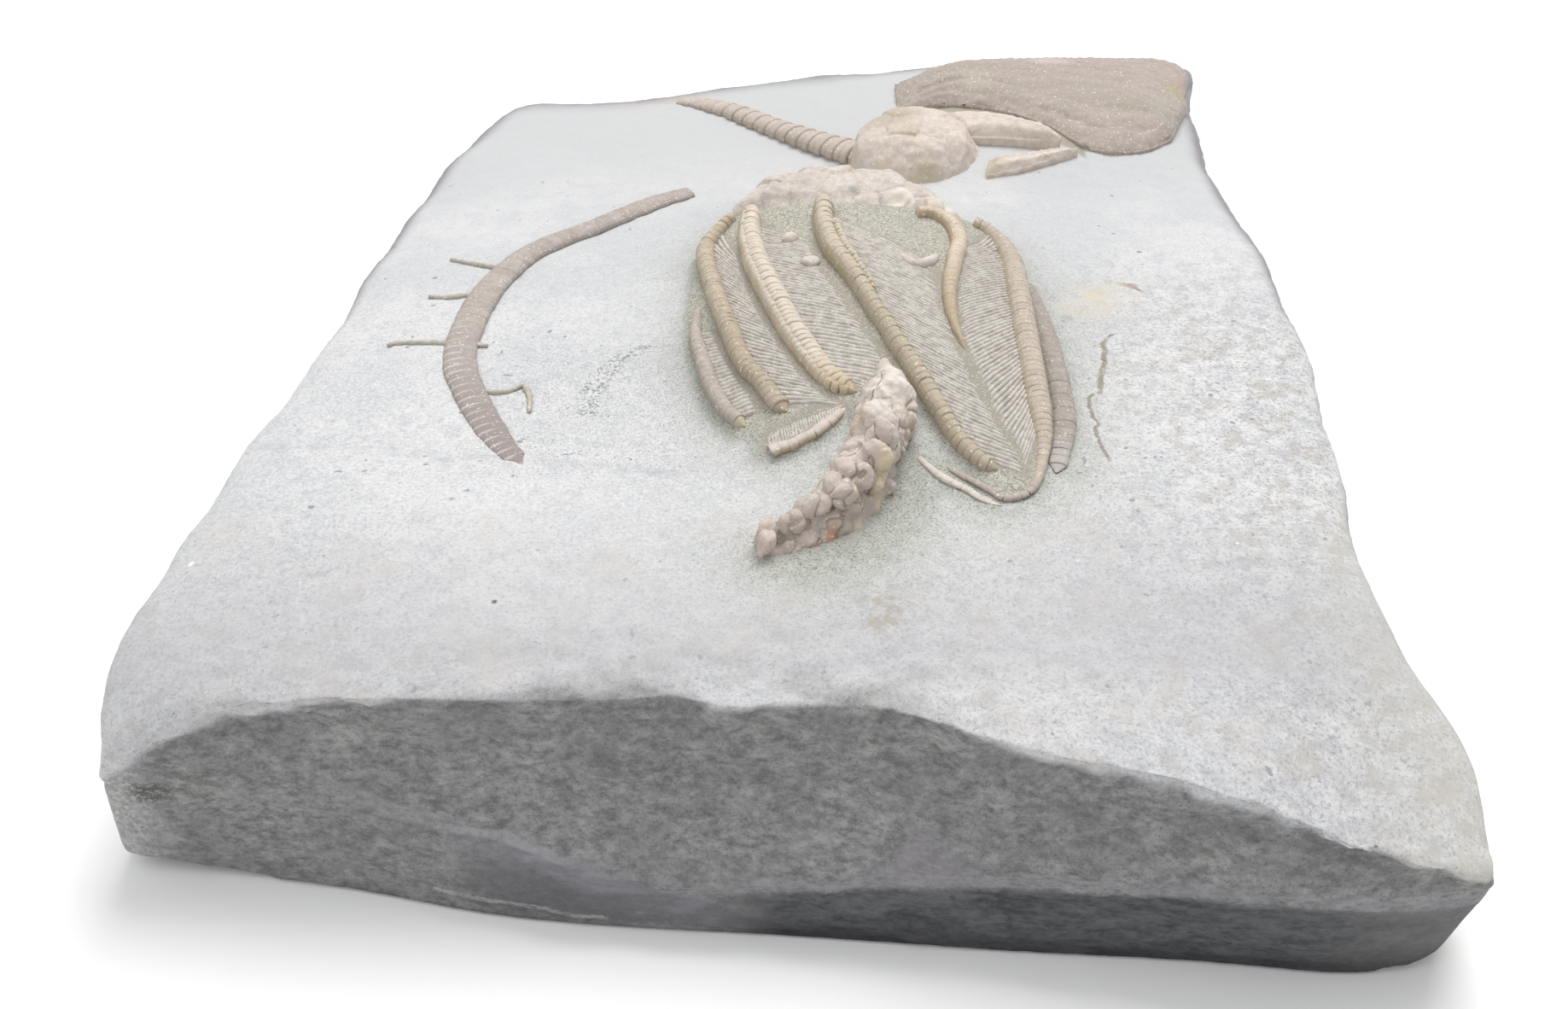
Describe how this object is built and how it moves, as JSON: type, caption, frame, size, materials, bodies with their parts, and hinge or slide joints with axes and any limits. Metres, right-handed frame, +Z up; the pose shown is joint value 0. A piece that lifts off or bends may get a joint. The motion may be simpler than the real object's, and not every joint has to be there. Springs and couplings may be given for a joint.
{
  "type": "crinoid fossil plate",
  "caption": "Split block of grey siltstone whose upper face carries crinoid crowns, a curled anal tube and a loose stem in relief; it lies flat for display.",
  "frame": {"origin": "middle of the block's flat underside, at the surface that it lies on", "axes": "+Z up out of the fossil face, +Y from the broken front face towards the back, +X to the right of someone who looks along +Y"},
  "size_m": [0.1041, 0.139, 0.0266],
  "materials": {
    "siltstone": "matte, fine grained",
    "crown_plates": "matte, slightly polished by preparation",
    "arm_calcite": "matte",
    "stem_calcite": "matte",
    "second_crown": "matte"
  },
  "bodies": {
    "root": {"matrix_slab": "siltstone", "main_cup": "crown_plates", "anal_tube": "crown_plates", "plate_chip_1": "crown_plates", "plate_chip_2": "crown_plates", "plate_chip_3": "crown_plates", "main_arm_1": "arm_calcite", "main_arm_2": "arm_calcite", "main_arm_3": "arm_calcite", "main_arm_4": "arm_calcite", "main_arm_5": "arm_calcite", "main_arm_6": "arm_calcite", "main_arm_7": "arm_calcite", "buried_arm_tip": "arm_calcite", "broken_arm": "arm_calcite", "loose_stem": "stem_calcite", "second_stem": "stem_calcite", "second_cup": "second_crown", "second_arms_upper": "second_crown", "second_arms_middle": "second_crown", "second_arms_lower": "second_crown"}
  },
  "joints": []
}
